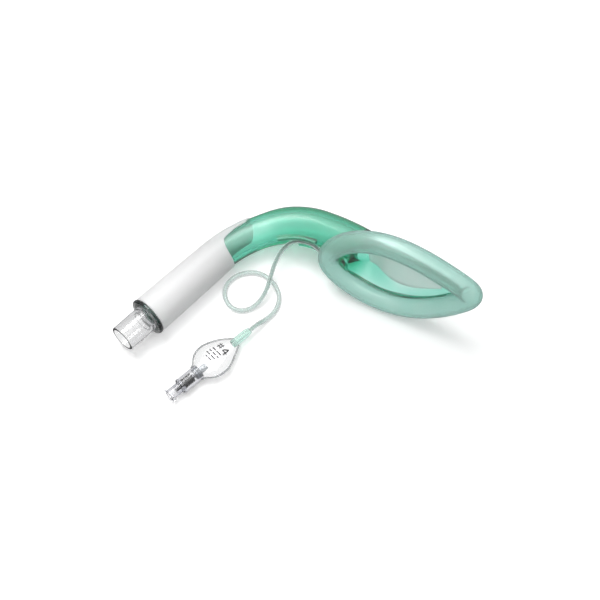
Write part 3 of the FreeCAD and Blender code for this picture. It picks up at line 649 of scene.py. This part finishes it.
def make_lip():
    """The thin weld where the bowl meets the inside of the cuff."""
    turn = radians(LIP_TURN)
    verts = []
    for i in range(RING_STATIONS):
        angle = 2 * math.pi * i / RING_STATIONS
        place, inward, rise = ring_section(angle)
        toward = inward * math.cos(turn) + rise * math.sin(turn)
        beside = rise * math.cos(turn) - inward * math.sin(turn)
        middle = place + toward * (cuff_radius(angle) + LIP_STAND * LIP_RADIUS)
        verts += circle(middle, toward, beside, LIP_RADIUS, LIP_AROUND)
    faces = skin_faces(verts, grid_faces(RING_STATIONS, LIP_AROUND))
    lip = mesh_piece("bowl_lip", verts, faces, lip_green)
    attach(lip, "airway")


def make_line():
    """The inflation line as one smooth curve on the route's points, and the bore in it."""
    data = bpy.data.curves.new("line_curve", "CURVE")
    data.dimensions = "3D"
    data.bevel_depth = LINE_RADIUS
    data.bevel_resolution = 6
    data.use_fill_caps = True
    data.resolution_u = 40
    points = [Vector(p) * MM for p in LINE_ROUTE]
    points.append(VALVE @ Vector((NECK_END + LINE_LEAD, 0, 0)))
    points.append(VALVE @ Vector((NECK_END, 0, 0)))
    spline = data.splines.new("NURBS")
    spline.points.add(len(points) - 1)
    for slot, point in zip(spline.points, points):
        slot.co = (*point, 1)
    spline.order_u = 3
    spline.use_endpoint_u = True
    line = link_object("line", data)
    data.materials.append(line_clear)
    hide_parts("inflation_line")
    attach(line, "airway")
    bore = data.copy()
    bore.bevel_depth = LINE_BORE_RADIUS
    hollow = bpy.data.objects.new("line_bore_curve", bore)
    mesh = bpy.data.meshes.new_from_object(hollow)
    mesh.flip_normals()
    made = link_object("line_bore", mesh)
    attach(made, "airway")


def balloon_rows():
    """(along, half width on one side, on the other, half height) of the balloon."""
    found = []
    for share, upper, lower, high in smooth_rows(BALLOON_OUTLINE, ROW_STEPS):
        found.append((BALLOON_FROM + share * BALLOON_LENGTH, upper * BALLOON_HALF_WIDTH,
                      lower * BALLOON_HALF_WIDTH, high * BALLOON_HALF_THICK))
    return found


BALLOON_ROWS = balloon_rows()


def film_height(side, reach, high):
    """Height of a film above the seam: full near the middle, pinched at the weld."""
    q = min(1.0, abs(side) / reach)
    return high * (1 - q ** FILM_FLATNESS) ** FILM_PINCH


def film_rings(inset):
    """Points round one of the balloon's two skins, row by row."""
    points = []
    for along, upper, lower, high in BALLOON_ROWS:
        for j in range(BALLOON_AROUND):
            turn = 2 * math.pi * j / BALLOON_AROUND
            reach = (upper if math.cos(turn) > 0 else lower) - inset
            side = reach * math.cos(turn)
            rise = film_height(side, reach, high - inset)
            points.append(Vector((along, side, rise if math.sin(turn) >= 0 else -rise)))
    return points


def make_balloon():
    """The pilot balloon: an outer and an inner skin joined at both ends, and its weld."""
    count = len(BALLOON_ROWS)
    around = BALLOON_AROUND
    verts = []
    faces = []
    for inset in (0.0, BALLOON_WALL):
        start = len(verts)
        verts += film_rings(inset)
        faces += grid_faces(count, around, start, False, flip=(inset > 0))
    last = (count - 1) * around
    inner = count * around
    for j in range(around):
        k = (j + 1) % around
        faces.append((j, k, inner + k, inner + j))
        faces.append((last + k, last + j, inner + last + j, inner + last + k))
    balloon = mesh_piece("balloon_skin", [VALVE @ v for v in verts], faces, balloon_film)
    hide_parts("pilot_balloon")
    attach(balloon, "airway")

    edge = SEAM_EDGE_SHARE * SEAM_HALF_HEIGHT
    section = ((-SEAM_INSIDE, SEAM_HALF_HEIGHT), (SEAM_WIDTH, edge),
               (SEAM_WIDTH, -edge), (-SEAM_INSIDE, -SEAM_HALF_HEIGHT))
    verts = []
    faces = []
    for side in (1, -1):
        start = len(verts)
        for along, upper, lower, _ in BALLOON_ROWS:
            reach = upper if side > 0 else lower
            for out, rise in section:
                verts.append(VALVE @ Vector((along, side * (reach + out), rise)))
        faces += grid_faces(count, len(section), start, False, flip=(side < 0))
        end = len(verts) - len(section)
        faces.append(tuple(start + n for n in (0, 1, 2, 3)))
        faces.append(tuple(end + n for n in (3, 2, 1, 0)))
    seam = mesh_piece("balloon_seam", verts, faces, seam_film)
    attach(seam, "airway")
    return [balloon, seam]


def on_film(along, side):
    """A point just above the balloon's upper film, in the valve's frame."""
    for a, b in zip(BALLOON_ROWS[:-1], BALLOON_ROWS[1:]):
        if a[0] <= along <= b[0]:
            share = (along - a[0]) / (b[0] - a[0])
            upper, lower, high = (a[n] + (b[n] - a[n]) * share for n in (1, 2, 3))
            reach = upper if side > 0 else lower
            return Vector((along, side, film_height(side, reach, high) + PRINT_LIFT))
    return Vector((along, side, PRINT_LIFT))


def print_strokes():
    """The print as (start, end, thickness), in millimetres on the film."""
    strokes = []
    for (x, y), shares, thick in (
        (NUMERAL_PLACE, NUMERAL_STROKES, NUMERAL_THICKNESS),
        (HASH_PLACE, HASH_STROKES, HASH_THICKNESS),
    ):
        for ends in shares:
            first, last = [(x + u * PRINT_HEIGHT, y + v * PRINT_HEIGHT) for u, v in ends]
            strokes.append((first, last, thick * PRINT_HEIGHT))
    for along, side, length, thick in PRINT_BARS:
        strokes.append(((along, side + length / 2), (along, side - length / 2), thick))
    return strokes


def make_print():
    """Ink on the film, as thin patches that follow it."""
    verts = []
    faces = []
    for first, last, thick in print_strokes():
        start = len(verts)
        run = (last[0] - first[0], last[1] - first[1])
        half = thick / 2 / math.hypot(*run)
        for i in range(STROKE_STEPS + 1):
            s = i / STROKE_STEPS
            for across in (half, 0, -half):
                along = first[0] + run[0] * s - run[1] * across
                side = first[1] + run[1] * s + run[0] * across
                verts.append(VALVE @ on_film(along * MM, side * MM))
        for i in range(STROKE_STEPS):
            for j in range(2):
                n = start + i * 3 + j
                faces.append((n, n + 3, n + 4, n + 1))
    ink = mesh_piece("balloon_print", verts, faces, print_ink, smooth=False)
    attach(ink, "airway")
    return ink


def make_spring():
    """The valve's spring, as its own copy of the part's mesh in place of the part."""
    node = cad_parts["valve_spring"]
    spring = link_object("spring_coil", node.data.copy())
    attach(spring, "airway")
    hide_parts("valve_spring")
    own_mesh(spring)
    return spring


make_camera()
make_floor()
make_world()
make_lights()
make_cuff()
make_bowl_skin()
make_lip()
on_line = make_balloon() + [make_print(), make_spring()]
make_line()

bpy.context.scene.view_settings.view_transform = "Standard"
